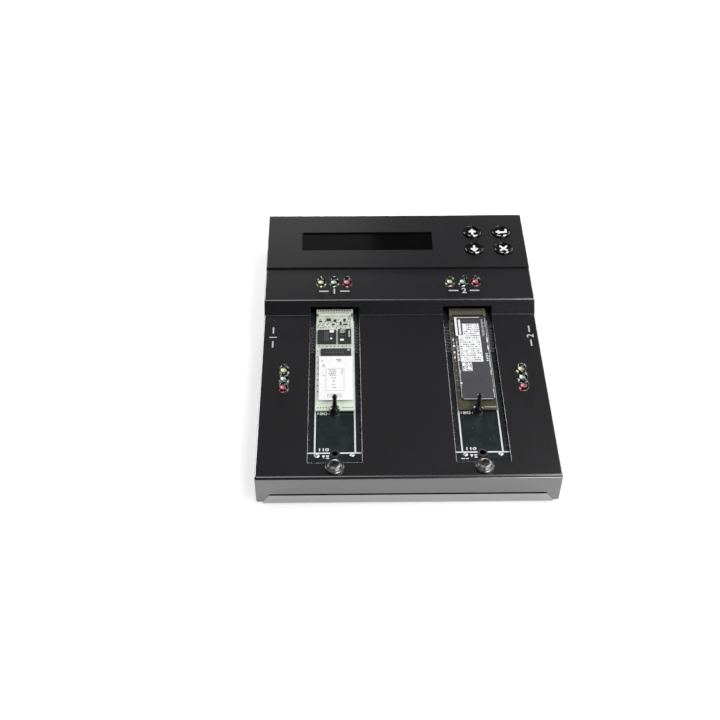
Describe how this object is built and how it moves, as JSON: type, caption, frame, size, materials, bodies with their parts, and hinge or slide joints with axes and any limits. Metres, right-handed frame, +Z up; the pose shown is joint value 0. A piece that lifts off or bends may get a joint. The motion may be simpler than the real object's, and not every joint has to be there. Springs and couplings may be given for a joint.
{
  "type": "drive duplicator",
  "caption": "Low black bench-top box that copies one storage drive to another, with open card bays, drive sockets in its sides, a character display and keys.",
  "frame": {"origin": "centre of the whole box in plan, at the surface that the rubber feet stand on", "axes": "+Z up, +Y towards the rear wall, -Y out of the front face, +X to the right as seen from the front"},
  "size_m": [0.1646, 0.2168, 0.034],
  "materials": {
    "cover_black": "fine-textured satin black powder coat",
    "tray_black": "fine-textured satin black powder coat",
    "rubber_black": "matt moulded rubber",
    "peg_black": "glossy soft black moulding",
    "screw_black": "black zinc, dull",
    "thumb_screw_black": "black nickel, polished",
    "zinc_steel": "bright zinc plate",
    "brass": "tinned brass",
    "solder_mask_black": "glossy black solder mask",
    "solder_mask_green": "glossy green solder mask",
    "card_pale": "pale green-grey card laminate",
    "card_olive": "dark olive card laminate",
    "chip_black": "matt moulding compound",
    "label_white": "matt white paper label",
    "label_dark": "satin dark grey film label",
    "aluminium": "plain extruded aluminium",
    "connector_black": "moulded nylon",
    "socket_ivory": "heat-proof moulding, ivory grey",
    "socket_olive": "heat-proof moulding, olive grey",
    "led_yellow": "tinted clear epoxy",
    "led_green": "tinted clear epoxy",
    "led_red": "tinted clear epoxy",
    "spacer_white": "natural nylon",
    "lens_dark": "smoked clear acrylic, polished",
    "display_glass": "display glass",
    "diffuser": "milky diffuser",
    "key_black": "gloss black moulding",
    "ribbon_grey": "grey flat-cable insulation",
    "wire_red": "red wire insulation"
  },
  "bodies": {
    "root": {"deck_cover": "cover_black", "panel_cover": "cover_black", "base_tray": "tray_black", "rubber_feet": "rubber_black", "case_screws": "screw_black", "main_board": "solder_mask_green", "main_board_standoffs": "zinc_steel", "board_screws": "zinc_steel", "controller_chip": "chip_black", "heat_sink": "aluminium", "board_chips": "chip_black", "power_capacitors": "aluminium", "buzzer": "connector_black", "sata_connector_left": "connector_black", "sata_connector_right": "connector_black", "adapter_board_left": "solder_mask_black", "adapter_board_right": "solder_mask_black", "adapter_standoffs": "zinc_steel", "header_housings": "connector_black", "header_pins": "brass", "m2_connector_left": "socket_ivory", "m2_connector_right": "socket_olive", "card_sleeves": "brass", "m2_card_left": "card_pale", "m2_card_left_chips": "chip_black", "m2_card_left_label": "label_white", "m2_card_right": "card_olive", "m2_card_right_chips": "chip_black", "m2_card_right_label": "label_dark", "thumb_screw_posts": "zinc_steel", "leds_yellow": "led_yellow", "leds_green": "led_green", "leds_red": "led_red", "led_spacers": "spacer_white", "led_board": "solder_mask_green", "lcd_window": "lens_dark", "lcd_bezel": "screw_black", "lcd_glass": "display_glass", "lcd_backlight": "diffuser", "lcd_board": "solder_mask_green", "keypad_board": "solder_mask_green", "tact_switches": "connector_black", "cover_standoffs": "zinc_steel", "ribbon_cables": "ribbon_grey", "dc_jack": "connector_black", "dc_jack_pin": "zinc_steel", "power_switch_housing": "connector_black", "switch_terminals": "brass", "switch_leads": "wire_red"},
    "button_down": {"button_down": "key_black"},
    "retaining_peg_right": {"retaining_peg_right": "peg_black"},
    "button_cancel": {"button_cancel": "key_black"},
    "thumb_screw_left": {"thumb_screw_left": "thumb_screw_black"},
    "retaining_peg_left": {"retaining_peg_left": "peg_black"},
    "button_up": {"button_up": "key_black"},
    "power_rocker": {"power_rocker": "key_black"},
    "thumb_screw_right": {"thumb_screw_right": "thumb_screw_black"},
    "button_enter": {"button_enter": "key_black"}
  },
  "joints": [
    {"name": "retaining_peg_left_pull", "type": "slide", "parent": "root", "child": "retaining_peg_left", "axis": [0, 0, 1], "range_m": [0, 0.007]},
    {"name": "thumb_screw_left_turn", "type": "hinge", "parent": "root", "child": "thumb_screw_left", "pos_m": [-0.0395, -0.10098, 0.02185], "axis": [0, 0, 1], "continuous": true},
    {"name": "retaining_peg_right_pull", "type": "slide", "parent": "root", "child": "retaining_peg_right", "axis": [0, 0, 1], "range_m": [0, 0.007]},
    {"name": "thumb_screw_right_turn", "type": "hinge", "parent": "root", "child": "thumb_screw_right", "pos_m": [0.0409, -0.10098, 0.02185], "axis": [0, 0, 1], "continuous": true},
    {"name": "button_up_press", "type": "slide", "parent": "root", "child": "button_up", "axis": [0, 0, -1], "range_m": [0, 0.001], "stiffness_N_per_m": 1500, "springref_m": -0.0003},
    {"name": "button_down_press", "type": "slide", "parent": "root", "child": "button_down", "axis": [0, 0, -1], "range_m": [0, 0.001], "stiffness_N_per_m": 1500, "springref_m": -0.0003},
    {"name": "button_enter_press", "type": "slide", "parent": "root", "child": "button_enter", "axis": [0, 0, -1], "range_m": [0, 0.001], "stiffness_N_per_m": 1500, "springref_m": -0.0003},
    {"name": "button_cancel_press", "type": "slide", "parent": "root", "child": "button_cancel", "axis": [0, 0, -1], "range_m": [0, 0.001], "stiffness_N_per_m": 1500, "springref_m": -0.0003},
    {"name": "power_rocker_tilt", "type": "hinge", "parent": "root", "child": "power_rocker", "pos_m": [0.058, 0.10192, 0.0126], "axis": [0, 0, 1], "range_deg": [0, 18]}
  ]
}
